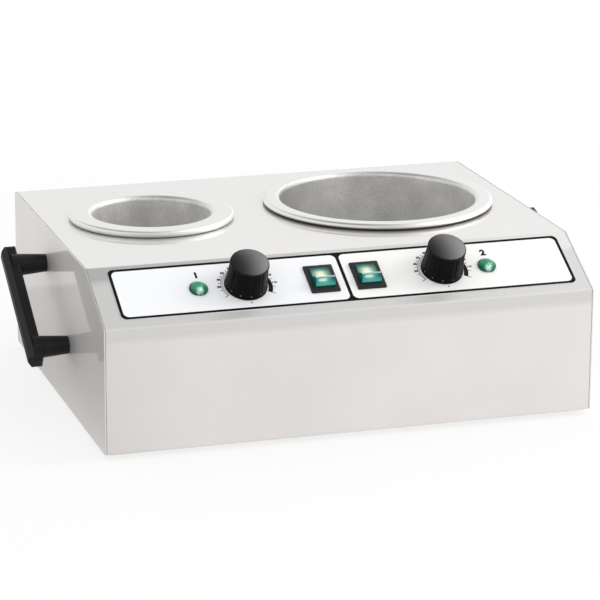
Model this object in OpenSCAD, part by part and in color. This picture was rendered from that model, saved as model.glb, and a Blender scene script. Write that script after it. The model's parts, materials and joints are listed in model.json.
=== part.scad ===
// Twin-pot wax heater: a folded stainless housing with two lift-out aluminium pots, a sloping
// control panel with two lit rocker switches, two pilot lamps and two thermostat knobs.
// Millimetres. +X is the user's right, +Y the rear, +Z up. The origin is on the table under the
// centre of the whole part. Parts ending in _a belong to the small pot, those in _b to the large one.

/* [Housing] */
// Width over the side panels
body_w = 430; // [420:1:460]
// Depth from the front panel to the rear panel
body_d = 338.6; // [330:0.1:360]
// Height from the underside of the housing to the deck
body_h = 142.4; // [139:0.1:160]
// How far back the sloping panel runs
slope_run = 64.8; // [64:0.1:72]
// How far the sloping panel drops from the deck
slope_drop = 34.7; // [32:0.1:38]
// Thickness of the stainless sheet
sheet = 1; // [0.8:0.1:1.2]
// Outer radius of every fold
fold_r = 2.5; // [2.5:0.1:4]
// Open seam between the shell and each side panel
seam = 0.5; // [0.3:0.1:0.8]
// Width of the flanges folded inwards at the bottom
bottom_flange = 20; // [16:1:20]

/* [Feet and base] */
// Height of the housing above the table
stand_h = 5; // [4.5:0.5:10]
// Radius of a rubber foot at its top
foot_r = 11; // [9:0.5:14]
// Distance of the feet from the middle, across
foot_x = 178; // [150:1:185]
// Distance of the feet from the middle, front to rear
foot_y = 130; // [110:1:140]
// Length of a ventilation slot in the base
vent_l = 60; // [40:1:80]
// Number of ventilation slots under each pot
vent_count = 9; // [5:1:11]

/* [Handles] */
// Distance of the handle bar's centre line from the side panel
handle_out = 31; // [26:1:40]
// Distance between the two posts of a handle
handle_span = 96.7; // [90:0.1:110]
// Slope of the handle bar
handle_tilt = 31.8; // [25:0.1:35]
// Middle of the handle, front to rear
handle_y = 3.8; // [-10:0.1:20]
// Middle of the handle above the underside of the housing
handle_z = 82.5; // [75:0.1:85]
// Width of the bar, seen from the side
bar_w = 16; // [14:0.5:20]
// How thick the bar is, seen from above
bar_t = 13; // [12:0.5:16]
// How far the bar runs past each post
bar_over = 18.4; // [14:0.1:26]
// Post radius at the side panel and at the bar
post_r = [7.8, 10.2];

/* [Control panel] */
// Length and height of the printed plate
plate_size = [400.4, 59.2];
// Distance of the plate's centre to the right of the housing's centre
plate_offset = 2.7; // [0:0.1:5]
// Distance of the plate's centre up the slope from the lower fold
plate_up = 39.4; // [36:0.1:40]
// Distance of the controls' centre to the right of the housing's centre
layout_offset = 1.7; // [0:0.1:5]
// Distance of the controls up the slope from the lower fold
controls_up = 38.2; // [36:0.1:40]
// Distance of the switches from the controls' centre
switch_x = 20.4; // [18:0.1:24]
// Distance of the knobs from the controls' centre
knob_x = 86.8; // [80:0.1:95]
// Distance of the pilot lamps from the controls' centre
lamp_x = 127.6; // [120:0.1:140]

/* [Knobs] */
// Radius of a knob at its foot
knob_r = 18.4; // [17.5:0.1:20]
// Radius of a knob's cap
knob_top_r = 16.6; // [15.5:0.1:17]
// Height of a knob with its cap
knob_h = 28.2; // [26:0.1:30]
// Number of flutes round a knob
flutes = 12; // [8:1:18]
// Clockwise turn of each knob from its off mark, as it stands in the drawing
knob_rest = [0, 14];

/* [Switches and lamps] */
// Outside size of a rocker switch's frame
frame_size = [25.5, 32];
// Width of a rocker
rocker_w = 17; // [15:0.1:18]
// Radius of a rocker's ends about its pivot
rocker_r = 11.6; // [11:0.1:12.5]
// How steeply each half of a rocker's top rises to its end
rocker_rise = 21; // [15:1:24]
// Tilt of a rocker to each side
rocker_tilt = 20; // [10:1:22]
// Radius of a pilot lamp's rim
lamp_r = 8; // [7.6:0.1:8.5]

/* [Pots] */
// Inner radius of the small pot and of the large pot
pot_r = [52.6, 88.1];
// Rim radius of the small pot and of the large pot
rim_r = [72.9, 103.7];
// Centre of the small pot, across and front to rear
pot_a_at = [-119, 43.8];
// Centre of the large pot, across and front to rear
pot_b_at = [90.8, 40.4];
// Depth of both pots below their rims
pot_depth = 100; // [80:1:102]
// Height of the rims above the deck
rim_h = 5.9; // [4:0.1:8]
// Thickness of a pot's wall
pot_wall = 2; // [1.5:0.1:2.5]

/* [Hidden] */
$fn = 72;

eps = 0.01;
A = 0;
B = 1;
fold_steps = 6;                 // flats in each rounded corner of an outline
near = 0.1;                     // gap between pieces of one assembly that only just clear
crease_h = body_h - slope_drop; // height of the lower fold
slope_tilt = atan(slope_drop / slope_run);
half_d = body_d / 2;
half_w = body_w / 2;

// Rear: a mains inlet whose flange stands out by rear_stand
rear_stand = 3;
inlet_x = -15;
inlet_z = 45;
inlet_flange = [31, 24.5];
inlet_body = [27, 20];
inlet_deep = 24;
socket_size = [24.2, 16.4];
socket_deep = 17;
pin_size = [2, 4];
pin_row = 7;    // line and neutral pins from the middle, across
pin_drop = 2;   // line and neutral pins below the middle
pin_rise = 4;   // earth pin above the middle
pin_long = 14;
tab_long = 8;

// Panel parts
plate_t = 0.6;
cutout_size = [22, 30];
switch_body = [21.8, 29.8];
frame_h = 2.5;
frame_bevel = 1.2;
pivot_drop = 2;        // rocker pivot below the frame's face
crease_rise = 3.2;     // fold of the rocker's top above its pivot
rocker_base = 3;       // underside of the rocker below its pivot
rocker_edge = 0.5;     // how far the edges at the rocker's ends are broken
rocker_gap = 0.3;
trunnion_r = 1.2;
trunnion_long = 1;
running = 0.06;        // radial clearance of everything that turns
rocker_well = 10.5;    // depth of the frame's well below its face
neon_r = 1.3;
neon_long = 10;
switch_deep = 24;
tab_size = [0.8, 6.3];
tab_at = [5, 8];       // each switch contact from the middle
lamp_hole_r = 6.2;
lamp_body_r = 6;
lamp_deep = 24;
lamp_rim = 2;
lamp_dome = [6.8, 4.4]; // radius and height of the dome on the rim
small_tab = [0.8, 4.8, 6];
spindle_r = 3;
spindle_low = 12;      // foot of the spindle below the plate's face
spindle_long = 31;
bushing_r = 4.9;
bushing_rise = 4;
thermostat_size = [34, 34, 22];
cap_h = 3.8;
cap_side = 1;          // straight side of the cap
cap_edge = 1.6;        // edge radius of the cap
crown = 1.8;           // rise of the cap's face to its middle
stem_r = 9.9;          // stem under the cap, in the knob's recess
stem_deep = 1.9;
groove_h = 0.8;
boss_low = 6;          // foot of the knob's boss
boss_r = 5.6;
knob_skin = 4;         // thickness of the knob's top
flute_r = 2.4;
flute_cut = 0.7;
flute_low = 5.2;       // lower end of the flutes
knob_lift = 0.6;       // gap under a knob

// Pots and wells, measured down from the deck's upper face
lip_r = 4;             // bend radius from the pot's wall to its rim
floor_r = 10;
rim_gap = 0.3;
rim_break = 0.8;
well_gap = 1.2;
well_t = 1;
well_drop = 98;
well_flange = 11.5;
hole_gap = 0.2;
heater_t = 2;
heater_h = 56;
heater_top = -24;
jacket_t = 14.5;
jacket_top = -10;
jacket_low = -92;
stud_count = 4;
stud_ring = 6;         // stud circle outside the well's wall
bulb_r = 3;
bulb_long = 60;
tube_r = 0.9;
cutout_r = 8;
cutout_h = 9;
well_under = body_h - well_drop - well_t; // underside of the wells in the housing

// Base, screws and earth
base_inset = 3;        // edge of the base plate inside the housing's edge
base_hole_r = 1.7;
vent_pitch = 12;
vent_w = 4;
screw_r = 1.5;
foot_screw_r = 2;
foot_recess = 2.2;     // depth of the screw's recess in a foot
handle_screw_r = 2;
handle_screw_long = 15;
base_screw_x = [-150, -50, 50, 150];
block_at = [-15, 112];
block_size = [44, 22, 16];
block_rows = [-13, 0, 13];
bore_z = 7;            // middle of the terminal block's bores
earth_at = [30, 132];
earth_r = 2.5;
earth_h = 16;
wire_r = 1.3;
loom_r = 1.6;

STEEL = "gainsboro";
BLACK = [0.08, 0.08, 0.08];
ALU = "silver";

// ---- shared shapes -------------------------------------------------------------------------

function unit(v) = v / norm(v);
function inward(a, b) = let (d = unit(b - a)) [-d.y, d.x];
function at(p, i) = p[(i + len(p)) % len(p)];

// Centres of the corner arcs of radius r of a convex outline, given anticlockwise
function arc_centres(p, r) = [for (i = [0:len(p) - 1])
    let (n = inward(at(p, i - 1), at(p, i)), m = inward(at(p, i), at(p, i + 1)))
    at(p, i) + r * (n + m) / (1 + n * m)];

// Convex outline whose corner arcs have the given centres and radius r
module rounded(centres, r)
    polygon([for (i = [0:len(centres) - 1])
        let (from = -inward(at(centres, i - 1), at(centres, i)),
             to = -inward(at(centres, i), at(centres, i + 1)),
             start = atan2(from.y, from.x),
             sweep = (atan2(to.y, to.x) - start + 360) % 360)
        for (k = [0:fold_steps]) at(centres, i)
            + r * [cos(start + sweep * k / fold_steps), sin(start + sweep * k / fold_steps)]]);

function box_corners(size) = [for (s = [[-1, -1], [1, -1], [1, 1], [-1, 1]])
    [s.x * size.x / 2, s.y * size.y / 2]];

module rounded_box(size, r, h) linear_extrude(h) rounded(arc_centres(box_corners(size), r), r);

// Round bar through a list of points, with a ball at each bend
module wire(points, r) {
    for (i = [0:len(points) - 2]) {
        run = points[i + 1] - points[i];
        translate(points[i])
            rotate([0, acos(run.z / norm(run)), atan2(run.y, run.x)])
            cylinder(r = r, h = norm(run));
    }
    for (i = [1:1:len(points) - 2]) translate(points[i]) sphere(r * 1.02);
}

// Pan-head screw pointing down from z = 0, with its head above
module screw(r, long, head_r, head_h) {
    difference() {
        cylinder(r = head_r, h = head_h);
        translate([-head_r * 0.7, -0.4, head_h * 0.5]) cube([head_r * 1.4, 0.8, head_h]);
        translate([-0.4, -head_r * 0.7, head_h * 0.5]) cube([0.8, head_r * 1.4, head_h]);
    }
    translate([0, 0, -long]) cylinder(r = r, h = long + eps);
}

// ---- places --------------------------------------------------------------------------------

// Housing frame: z = 0 at the housing's underside, y = 0 midway between front and rear
module housing() translate([0, -rear_stand / 2, stand_h]) children();

// z = 0 on the sloping panel's outer face, +Y up the slope, +Z out of it
module on_slope(x, up = controls_up)
    housing() translate([x, -half_d + up * cos(slope_tilt), crease_h + up * sin(slope_tilt)])
    rotate([slope_tilt, 0, 0]) children();

// z = 0 on the deck's upper face above the centre of a pot
module at_pot(side) housing() translate(concat(side == A ? pot_a_at : pot_b_at, body_h)) children();

function panel_x(side, from_centre) = layout_offset + (side == A ? -from_centre : from_centre);

// Point in the housing at a depth under the sloping panel's outer face
function under_slope(x, up, depth) = [x, -half_d + up * cos(slope_tilt) + depth * sin(slope_tilt),
    crease_h + up * sin(slope_tilt) - depth * cos(slope_tilt)];

// Middle of a handle on the side panel: local z points away from the housing, local y along the
// bar and upwards to the rear
module at_handle(side)
    housing() translate([side * half_w, handle_y, handle_z])
    rotate([handle_tilt, 0, 0]) rotate([0, side * 90, 0]) children();

// ---- housing -------------------------------------------------------------------------------

side_outline = [[-half_d, 0], [half_d, 0], [half_d, body_h], [-half_d + slope_run, body_h],
                [-half_d, crease_h]];
side_centres = arc_centres(side_outline, fold_r);

// Side view turned so that it stands across the housing, starting at x
module across(x, w) translate([x, 0, 0]) rotate([90, 0, 90]) linear_extrude(w) children();

module housing_shell() color(STEEL) {
    x0 = -half_w + sheet + seam;
    difference() {
        housing() difference() {
            across(x0, -2 * x0) difference() {
                rounded(side_centres, fold_r);
                rounded(side_centres, fold_r - sheet);
                translate([-half_d + bottom_flange, -1])
                    square([body_d - 2 * bottom_flange, 2 * sheet + 1]);
            }
            at_base_screws() translate([0, 0, -1]) cylinder(r = base_hole_r, h = 4);
            translate([inlet_x, half_d, inlet_z])
                cube([inlet_body.x + 3 * near, 10, inlet_body.y + 3 * near], center = true);
        }
        for (side = [A, B]) {
            at_pot(side) translate([0, 0, -3])
                cylinder(r = pot_r[side] + pot_wall + well_gap + well_t + hole_gap, h = 6);
            on_slope(panel_x(side, switch_x)) cube([cutout_size.x, cutout_size.y, 8], center = true);
            on_slope(panel_x(side, lamp_x)) cylinder(r = lamp_hole_r, h = 8, center = true);
            on_slope(panel_x(side, knob_x))
                cylinder(r = bushing_r + hole_gap, h = 8, center = true);
        }
    }
}

module side_panel(side) color(STEEL)
    difference() {
        housing() difference() {
            union() {
                across(side > 0 ? half_w - sheet : -half_w, sheet) rounded(side_centres, fold_r);
                across(side > 0 ? half_w - bottom_flange : -half_w + sheet - eps,
                       bottom_flange - sheet + eps) difference() {
                    rounded(side_centres, fold_r - sheet - near);
                    rounded(side_centres, fold_r - 2 * sheet - near);
                }
            }
        }
        for (e = [-1, 1]) at_handle(side) translate([0, e * handle_span / 2, 0])
            cylinder(r = handle_screw_r + hole_gap, h = 8, center = true);
    }

module side_panel_left() side_panel(-1);
module side_panel_right() side_panel(1);

// Screws along the front and rear flanges, in the housing frame
module at_base_screws()
    for (x = base_screw_x, s = [-1, 1]) translate([x, s * (half_d - bottom_flange / 2), 0]) children();

// Feet near the corners, in the housing frame
module at_feet() for (x = [-1, 1], y = [-1, 1]) translate([x * foot_x, y * foot_y, 0]) children();

module base_plate() color(STEEL)
    housing() translate([0, 0, -sheet]) difference() {
        rounded_box([body_w - 2 * base_inset, body_d - 2 * base_inset], 4, sheet);
        for (c = [pot_a_at, pot_b_at], i = [0:vent_count - 1])
            translate([c.x + (i - (vent_count - 1) / 2) * vent_pitch, c.y, -1])
                rounded_box([vent_w, vent_l], vent_w / 2 - eps, 3);
        at_base_screws() translate([0, 0, -1]) cylinder(r = base_hole_r, h = 4);
        at_feet() translate([0, 0, -1]) cylinder(r = foot_screw_r + hole_gap, h = 4);
        translate([earth_at.x, earth_at.y, -1]) cylinder(r = earth_r + near, h = 4);
    }

module base_screws() color("dimgray") housing() at_base_screws()
    translate([0, 0, -sheet]) mirror([0, 0, 1]) screw(screw_r, 7, 2.9, 1.2);

module feet() color(BLACK) housing() at_feet() translate([0, 0, -stand_h]) difference() {
    cylinder(r1 = foot_r - 1.5, r2 = foot_r, h = stand_h - sheet);
    translate([0, 0, -1]) cylinder(r = 4.5, h = foot_recess + 1);
    cylinder(r = foot_screw_r + hole_gap, h = stand_h);
}

module foot_screws() color("dimgray") housing() at_feet() {
    translate([0, 0, foot_recess - stand_h]) mirror([0, 0, 1]) screw(foot_screw_r, 10, 3.6, 1.8);
    difference() {
        cylinder(r = 4, h = 3, $fn = 6);
        cylinder(r = foot_screw_r + near / 2, h = 8, center = true);
    }
}

// ---- handles -------------------------------------------------------------------------------

// The bar is what three outlines have in common: its section, its side view and its top view
module handle_bar() {
    end = handle_span / 2 + bar_over;
    side = bar_w / 2;
    inner = handle_out - bar_t / 2;
    outer = handle_out + bar_t / 2;
    inner_chamfer = 2.5;
    outer_chamfer = 5;
    section = [[-side, inner], [side, inner], [side, outer - outer_chamfer],
               [side - outer_chamfer, outer], [outer_chamfer - side, outer],
               [-side, outer - outer_chamfer]];
    top_view = [[inner_chamfer - end, inner], [end - inner_chamfer, inner],
                [end, inner + inner_chamfer], [end, outer - outer_chamfer],
                [end - outer_chamfer, outer], [outer_chamfer - end, outer],
                [-end, outer - outer_chamfer], [-end, inner + inner_chamfer]];
    intersection() {
        rotate([90, 0, 0]) translate([0, 0, -end]) linear_extrude(2 * end)
            rounded(arc_centres(section, 2), 2);
        rounded_box([bar_w, 2 * end], 6, handle_out + bar_t);
        rotate([90, 0, 90]) translate([0, 0, -bar_w]) linear_extrude(2 * bar_w)
            rounded(arc_centres(top_view, 3), 3);
    }
}

module handle(side) color(BLACK)
    at_handle(side) difference() {
        union() {
            handle_bar();
            for (e = [-1, 1]) translate([0, e * handle_span / 2, 0])
                cylinder(r1 = post_r[0], r2 = post_r[1], h = handle_out);
        }
        for (e = [-1, 1]) translate([0, e * handle_span / 2, -1])
            cylinder(r = handle_screw_r + near, h = handle_screw_long + 2);
    }

module handle_left() handle(-1);
module handle_right() handle(1);

module handle_screws() color("dimgray")
    for (side = [-1, 1], e = [-1, 1])
        at_handle(side) translate([0, e * handle_span / 2, -sheet])
            mirror([0, 0, 1]) screw(handle_screw_r, handle_screw_long, 4, 2.4);

// ---- control panel -------------------------------------------------------------------------

module control_plate() color("white")
    difference() {
        on_slope(plate_offset, plate_up) translate([0, 0, eps])
            rounded_box(plate_size, 5, plate_t - 2 * eps);
        for (side = [A, B]) {
            on_slope(panel_x(side, switch_x)) cube([cutout_size.x, cutout_size.y, 8], center = true);
            on_slope(panel_x(side, lamp_x)) cylinder(r = lamp_hole_r, h = 8, center = true);
            on_slope(panel_x(side, knob_x))
                cylinder(r = bushing_r + hole_gap, h = 8, center = true);
        }
    }

// ---- rocker switches: z = 0 on the frame's face, origin on the middle of the switch ---------

module at_switch(side) on_slope(panel_x(side, switch_x)) translate([0, 0, plate_t + frame_h]) children();

module switch_frame(side) color(BLACK)
    at_switch(side) difference() {
        union() {
            // bevelled frame on the panel
            intersection() {
                translate([0, 0, -frame_h]) rounded_box(frame_size, 1.2, frame_h);
                bevelled_bar(frame_size.y, frame_size.x, [90, 0, 90]);
                bevelled_bar(frame_size.x, frame_size.y, [90, 0, 0]);
            }
            // body behind the panel
            translate([-switch_body.x / 2, -switch_body.y / 2, -switch_deep])
                cube([switch_body.x, switch_body.y, switch_deep - frame_h + eps]);
        }
        translate([-rocker_w / 2 - rocker_gap, -rocker_r - rocker_gap, -rocker_well])
            cube([rocker_w + 2 * rocker_gap, 2 * (rocker_r + rocker_gap), rocker_well + 1]);
        translate([0, 0, -pivot_drop]) rotate([0, 90, 0])
            cylinder(r = trunnion_r + running, h = rocker_w + 2 * (trunnion_long + near), center = true);
    }

// Bar with a sloped shoulder on both long edges, that gives a frame its bevel
module bevelled_bar(w, long, turn)
    rotate(turn) translate([0, 0, -long]) linear_extrude(2 * long)
        polygon([[-w / 2, -frame_h], [w / 2, -frame_h], [w / 2, -frame_bevel],
                 [w / 2 - frame_bevel, 0], [-w / 2 + frame_bevel, 0], [-w / 2, -frame_bevel]]);

module switch_frame_a() switch_frame(A);
module switch_frame_b() switch_frame(B);

// Side view of a rocker about its pivot: two flat halves rise from a valley to broken edges, and
// the ends are round about the pivot
module rocker_outline() {
    k = tan(rocker_rise);
    y = (-k * crease_rise + sqrt(rocker_r * rocker_r * (1 + k * k) - crease_rise * crease_rise))
        / (1 + k * k);
    crest = [y, crease_rise + k * y];
    face_end = crest - rocker_edge * [cos(rocker_rise), sin(rocker_rise)];
    below = crest + rocker_edge * unit([crest.y, -crest.x]);
    beyond = below + 2 * unit(below - face_end);
    intersection() {
        circle(rocker_r, $fn = 144);
        polygon([[-beyond.x, -rocker_base], [beyond.x, -rocker_base], beyond, face_end,
                 [0, crease_rise], [-face_end.x, face_end.y], [-beyond.x, beyond.y]]);
    }
}

// The upper half is pressed in
module rocker(side) color("mediumaquamarine")
    at_switch(side) translate([0, 0, -pivot_drop]) rotate([-rocker_tilt, 0, 0]) {
        rotate([90, 0, 90]) translate([0, 0, -rocker_w / 2]) linear_extrude(rocker_w) rocker_outline();
        rotate([0, 90, 0]) cylinder(r = trunnion_r, h = rocker_w + 2 * trunnion_long, center = true);
    }

module rocker_a() rocker(A);
module rocker_b() rocker(B);

module switch_neons() color("orange")
    for (side = [A, B]) at_switch(side)
        translate([0, 0, -rocker_well + neon_r + hole_gap]) rotate([0, 90, 0]) {
            cylinder(r = neon_r, h = neon_long, center = true);
            for (e = [-1, 1]) translate([0, 0, e * neon_long / 2]) sphere(neon_r);
        }

module switch_contacts() color("goldenrod")
    for (side = [A, B], x = [-1, 1], y = [-1, 1]) at_switch(side)
        translate([x * tab_at.x - tab_size.x / 2, y * tab_at.y - tab_size.y / 2,
                   -switch_deep - tab_long])
            cube([tab_size.x, tab_size.y, tab_long]);

// ---- pilot lamps: z = 0 on the plate's face -------------------------------------------------

module at_lamp(side) on_slope(panel_x(side, lamp_x)) translate([0, 0, plate_t]) children();

// Radius of the ball whose cap is r wide and h high
function cap_ball(r, h) = (r * r + h * h) / (2 * h);

module lamp_lens(side) color("mediumseagreen") {
    edge = 0.8;
    ball_r = cap_ball(lamp_dome[0], lamp_dome[1]);
    at_lamp(side) {
        rotate_extrude() {
            square([lamp_r - edge, lamp_rim]);
            square([lamp_r, lamp_rim - edge]);
            translate([lamp_r - edge, lamp_rim - edge]) circle(edge, $fn = 32);
        }
        intersection() {
            translate([0, 0, lamp_rim + lamp_dome[1] - ball_r]) sphere(ball_r);
            translate([0, 0, eps]) cylinder(r = lamp_r, h = 10);
        }
    }
}

module lamp_lens_a() lamp_lens(A);
module lamp_lens_b() lamp_lens(B);

module lamp_body(side) color(BLACK)
    at_lamp(side) {
        translate([0, 0, -lamp_deep]) cylinder(r = lamp_body_r, h = lamp_deep);
        for (x = [-3, 3]) translate([x, 0, -lamp_deep - small_tab.z / 2 + eps])
            cube(small_tab, center = true);
    }

module lamp_body_a() lamp_body(A);
module lamp_body_b() lamp_body(B);

module lamp_nuts() color("dimgray")
    for (side = [A, B]) at_lamp(side)
        translate([0, 0, -plate_t - sheet - 3.5]) difference() {
            cylinder(r = 9.2, h = 3.5, $fn = 6);
            cylinder(r = lamp_body_r + near / 2, h = 20, center = true);
        }

// ---- knobs: z = 0 on the plate's face, the pointer's flute towards -Y when off ----------------

module at_knob(side) on_slope(panel_x(side, knob_x)) translate([0, 0, plate_t]) children();

module knob(side) color(BLACK) {
    body_top = knob_h - cap_h - groove_h;
    body_r = knob_top_r - 0.3;
    lean = atan((knob_r - body_r) / body_top);
    at_knob(side) rotate([0, 0, -knob_rest[side]]) difference() {
        // outline from the boss round the open underside, the foot and the tapered body
        rotate_extrude() polygon([
            [0, boss_low], [boss_r, boss_low], [boss_r, body_top - knob_skin],
            [body_r - 2, body_top - knob_skin], [knob_r - 2.2, knob_lift], [knob_r, knob_lift],
            [knob_r, knob_lift + 1.6], [knob_r - 0.5, knob_lift + 2.6], [body_r, body_top - 0.6],
            [body_r - 0.6, body_top], [0, body_top]]);
        // flutes, each with a ball end above the foot
        for (i = [0:flutes - 1]) rotate([0, 0, -90 + i * 360 / flutes])
            translate([knob_r - 0.35 + flute_r - flute_cut, 0, flute_low]) rotate([0, -lean, 0]) {
                cylinder(r = flute_r, h = knob_h);
                sphere(flute_r);
            }
        // recess for the cap's stem and bore for the spindle
        translate([0, 0, body_top - stem_deep - near]) cylinder(r = stem_r + near, h = knob_h);
        difference() {
            cylinder(r = spindle_r + near / 2, h = body_top - 3);
            translate([spindle_r / 2 + near / 2, -5, 0]) cube([5, 10, body_top]);
        }
    }
}

module knob_a() knob(A);
module knob_b() knob(B);

module knob_cap(side) color([0.12, 0.12, 0.12]) {
    low = knob_h - cap_h;
    ball_r = cap_ball(knob_top_r, crown);
    at_knob(side) {
        intersection() {
            translate([0, 0, knob_h - ball_r]) sphere(ball_r, $fn = 180);
            translate([0, 0, low]) rotate_extrude() intersection() {
                union() {
                    square([knob_top_r, cap_side]);
                    square([knob_top_r - cap_edge, cap_h + 1]);
                    translate([knob_top_r - cap_edge, cap_side]) circle(cap_edge, $fn = 48);
                }
                square([knob_top_r + 1, cap_h + 1]);
            }
        }
        translate([0, 0, low - groove_h - stem_deep])
            cylinder(r = stem_r, h = groove_h + stem_deep + eps);
    }
}

module knob_cap_a() knob_cap(A);
module knob_cap_b() knob_cap(B);

// Spindle with a flat, from inside the thermostat up into the knob
module spindle(side) color("darkgray")
    at_knob(side) rotate([0, 0, -knob_rest[side]]) translate([0, 0, -spindle_low]) difference() {
        cylinder(r = spindle_r, h = spindle_long);
        translate([spindle_r / 2, -5, spindle_long - 14]) cube([5, 10, 20]);
    }

module spindle_a() spindle(A);
module spindle_b() spindle(B);

module thermostat(side) color("lightgray")
    at_knob(side) difference() {
        union() {
            translate([0, 0, -plate_t - sheet - thermostat_size.z])
                rounded_box([thermostat_size.x, thermostat_size.y], 3, thermostat_size.z);
            translate([0, 0, -plate_t - sheet - eps])
                cylinder(r = bushing_r, h = plate_t + sheet + bushing_rise + eps);
        }
        translate([0, 0, -spindle_low - 3 * near]) cylinder(r = spindle_r + running, h = 40);
    }

module thermostat_a() thermostat(A);
module thermostat_b() thermostat(B);

module thermostat_nuts() color("dimgray")
    for (side = [A, B]) at_knob(side) difference() {
        cylinder(r = 7.6, h = 2.6, $fn = 6);
        cylinder(r = bushing_r + near / 2, h = 20, center = true);
    }

// ---- pots: z = 0 on the deck, origin on the pot's axis -----------------------------------------

// Half section of a round bowl of radius r, with its mouth at z = 0
module bowl(r, deep, corner) {
    translate([0, -deep]) square([r - corner, deep]);
    translate([0, corner - deep]) square([r, deep - corner]);
    translate([r - corner, corner - deep]) circle(corner);
}

// Half section of a pot up to the bend of its lip
module pot_wall_section(r) {
    deep = pot_depth - lip_r;
    difference() {
        bowl(r + pot_wall, deep + pot_wall, floor_r + pot_wall);
        bowl(r, deep, floor_r);
        translate([0, -eps]) square([r, 1]);
    }
    // bend of the lip
    intersection() {
        translate([r + lip_r, 0]) difference() {
            circle(lip_r);
            circle(lip_r - pot_wall);
        }
        translate([r, 0]) square([lip_r, lip_r]);
    }
}

module pot_a() color(ALU) at_pot(A) rotate_extrude($fn = 128) {
    translate([0, rim_h - lip_r]) pot_wall_section(pot_r[A]);
    // flat rim with its edge turned down, and the edge's lower corner broken
    translate([pot_r[A] + lip_r, rim_h - pot_wall])
        square([rim_r[A] - pot_r[A] - lip_r - pot_wall, pot_wall]);
    polygon([[rim_r[A] - pot_wall, rim_gap], [rim_r[A] - rim_break, rim_gap],
             [rim_r[A], rim_gap + rim_break], [rim_r[A], rim_h - pot_wall],
             [rim_r[A] - pot_wall, rim_h - pot_wall]]);
    intersection() {
        translate([rim_r[A] - pot_wall, rim_h - pot_wall]) circle(pot_wall);
        translate([rim_r[A] - pot_wall, rim_h - pot_wall]) square(pot_wall);
    }
}

module pot_b() color(ALU) at_pot(B) rotate_extrude($fn = 180) {
    bead_r = (rim_h - rim_gap) / 2;
    translate([0, rim_h - lip_r]) pot_wall_section(pot_r[B]);
    // narrow rim that ends in a rolled bead
    translate([pot_r[B] + lip_r, rim_h - pot_wall])
        square([rim_r[B] - bead_r - pot_r[B] - lip_r, pot_wall]);
    translate([rim_r[B] - bead_r, rim_gap + bead_r]) circle(bead_r);
}

function well_in(side) = pot_r[side] + pot_wall + well_gap;

// Heated well under the deck, with its flange against the sheet
module well(side) color([0.72, 0.72, 0.74])
    at_pot(side) difference() {
        translate([0, 0, -sheet]) rotate_extrude($fn = 128) {
            difference() {
                bowl(well_in(side) + well_t, well_drop + well_t - sheet, floor_r + well_t);
                bowl(well_in(side), well_drop - sheet, floor_r);
                translate([0, -eps]) square([well_in(side), 1]);
            }
            translate([well_in(side), -well_t]) square([well_flange, well_t]);
        }
        for (i = [0:stud_count - 1]) rotate(i * 90 + 45)
            translate([well_in(side) + stud_ring, 0, -10]) cylinder(r = 2.2, h = 20);
    }

module well_a() well(A);
module well_b() well(B);

module at_studs() for (side = [A, B], i = [0:stud_count - 1])
    at_pot(side) rotate(i * 90 + 45) translate([well_in(side) + stud_ring, 0, -sheet]) children();

module well_studs() color("dimgray") at_studs() translate([0, 0, -8]) cylinder(r = 2, h = 8);

module well_nuts() color("gray") at_studs() translate([0, 0, -well_t - 3.2]) difference() {
    cylinder(r = 4, h = 3.2, $fn = 6);
    cylinder(r = 2 + near / 2, h = 20, center = true);
}

// Ring open to the front by a gap, in degrees
module open_ring(inner, thick, low, high, gap)
    translate([0, 0, low]) rotate(gap / 2 - 90)
        rotate_extrude(angle = 360 - gap, $fn = 128)
            translate([inner, 0]) square([thick, high - low]);

// Band heater, with two clamp lugs and their bolt at the gap
module heater(side) color([0.6, 0.58, 0.52]) {
    inner = well_in(side) + well_t + near;
    gap = 8;
    edge = (inner + heater_t / 2) * sin(gap / 2);
    at_pot(side) {
        open_ring(inner, heater_t, heater_top - heater_h, heater_top, gap);
        for (e = [-1, 1])
            translate([e * (edge + 0.6) - 0.9, -inner - 9, heater_top - heater_h + 8])
                cube([1.8, 8.6, heater_h - 16]);
        translate([0, -inner - 6, heater_top - heater_h / 2]) rotate([0, 90, 0])
            cylinder(r = 1.8, h = 2 * edge + 12, center = true);
    }
}

module heater_a() heater(A);
module heater_b() heater(B);

module insulation(side) color("khaki")
    at_pot(side) open_ring(well_in(side) + well_t + heater_t + 1, jacket_t, jacket_low, jacket_top,
                           side == A ? 36 : 24);

module insulation_a() insulation(A);
module insulation_b() insulation(B);

// ---- heat control behind the panel ------------------------------------------------------------

// Sensor bulb under the well and its thin tube to the thermostat, in the housing frame
module sensor(side) color("peru") {
    centre = side == A ? pot_a_at : pot_b_at;
    bulb_z = well_under - bulb_r - near;
    bulb_x = centre.x - bulb_long / 2;
    knob_at = panel_x(side, knob_x);
    housing() {
        translate([bulb_x, centre.y, bulb_z]) rotate([0, 90, 0])
            cylinder(r = bulb_r, h = bulb_long);
        wire([[bulb_x + eps, centre.y, bulb_z], [bulb_x - 8, centre.y, bulb_z],
              [bulb_x - 8, -60, 20], [knob_at, -90, 30],
              under_slope(knob_at, controls_up, sheet + thermostat_size.z + 2 * near)], tube_r);
    }
}

module sensor_a() sensor(A);
module sensor_b() sensor(B);

module thermal_cutouts() color("saddlebrown") housing()
    for (c = [pot_a_at, pot_b_at]) translate([c.x, c.y - 25, well_under - near - cutout_h]) {
        cylinder(r = cutout_r, h = cutout_h);
        for (e = [-1, 1]) translate([e * 4, 0, -small_tab.z / 2 + eps]) cube(small_tab, center = true);
    }

// ---- mains side ---------------------------------------------------------------------------------

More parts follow.
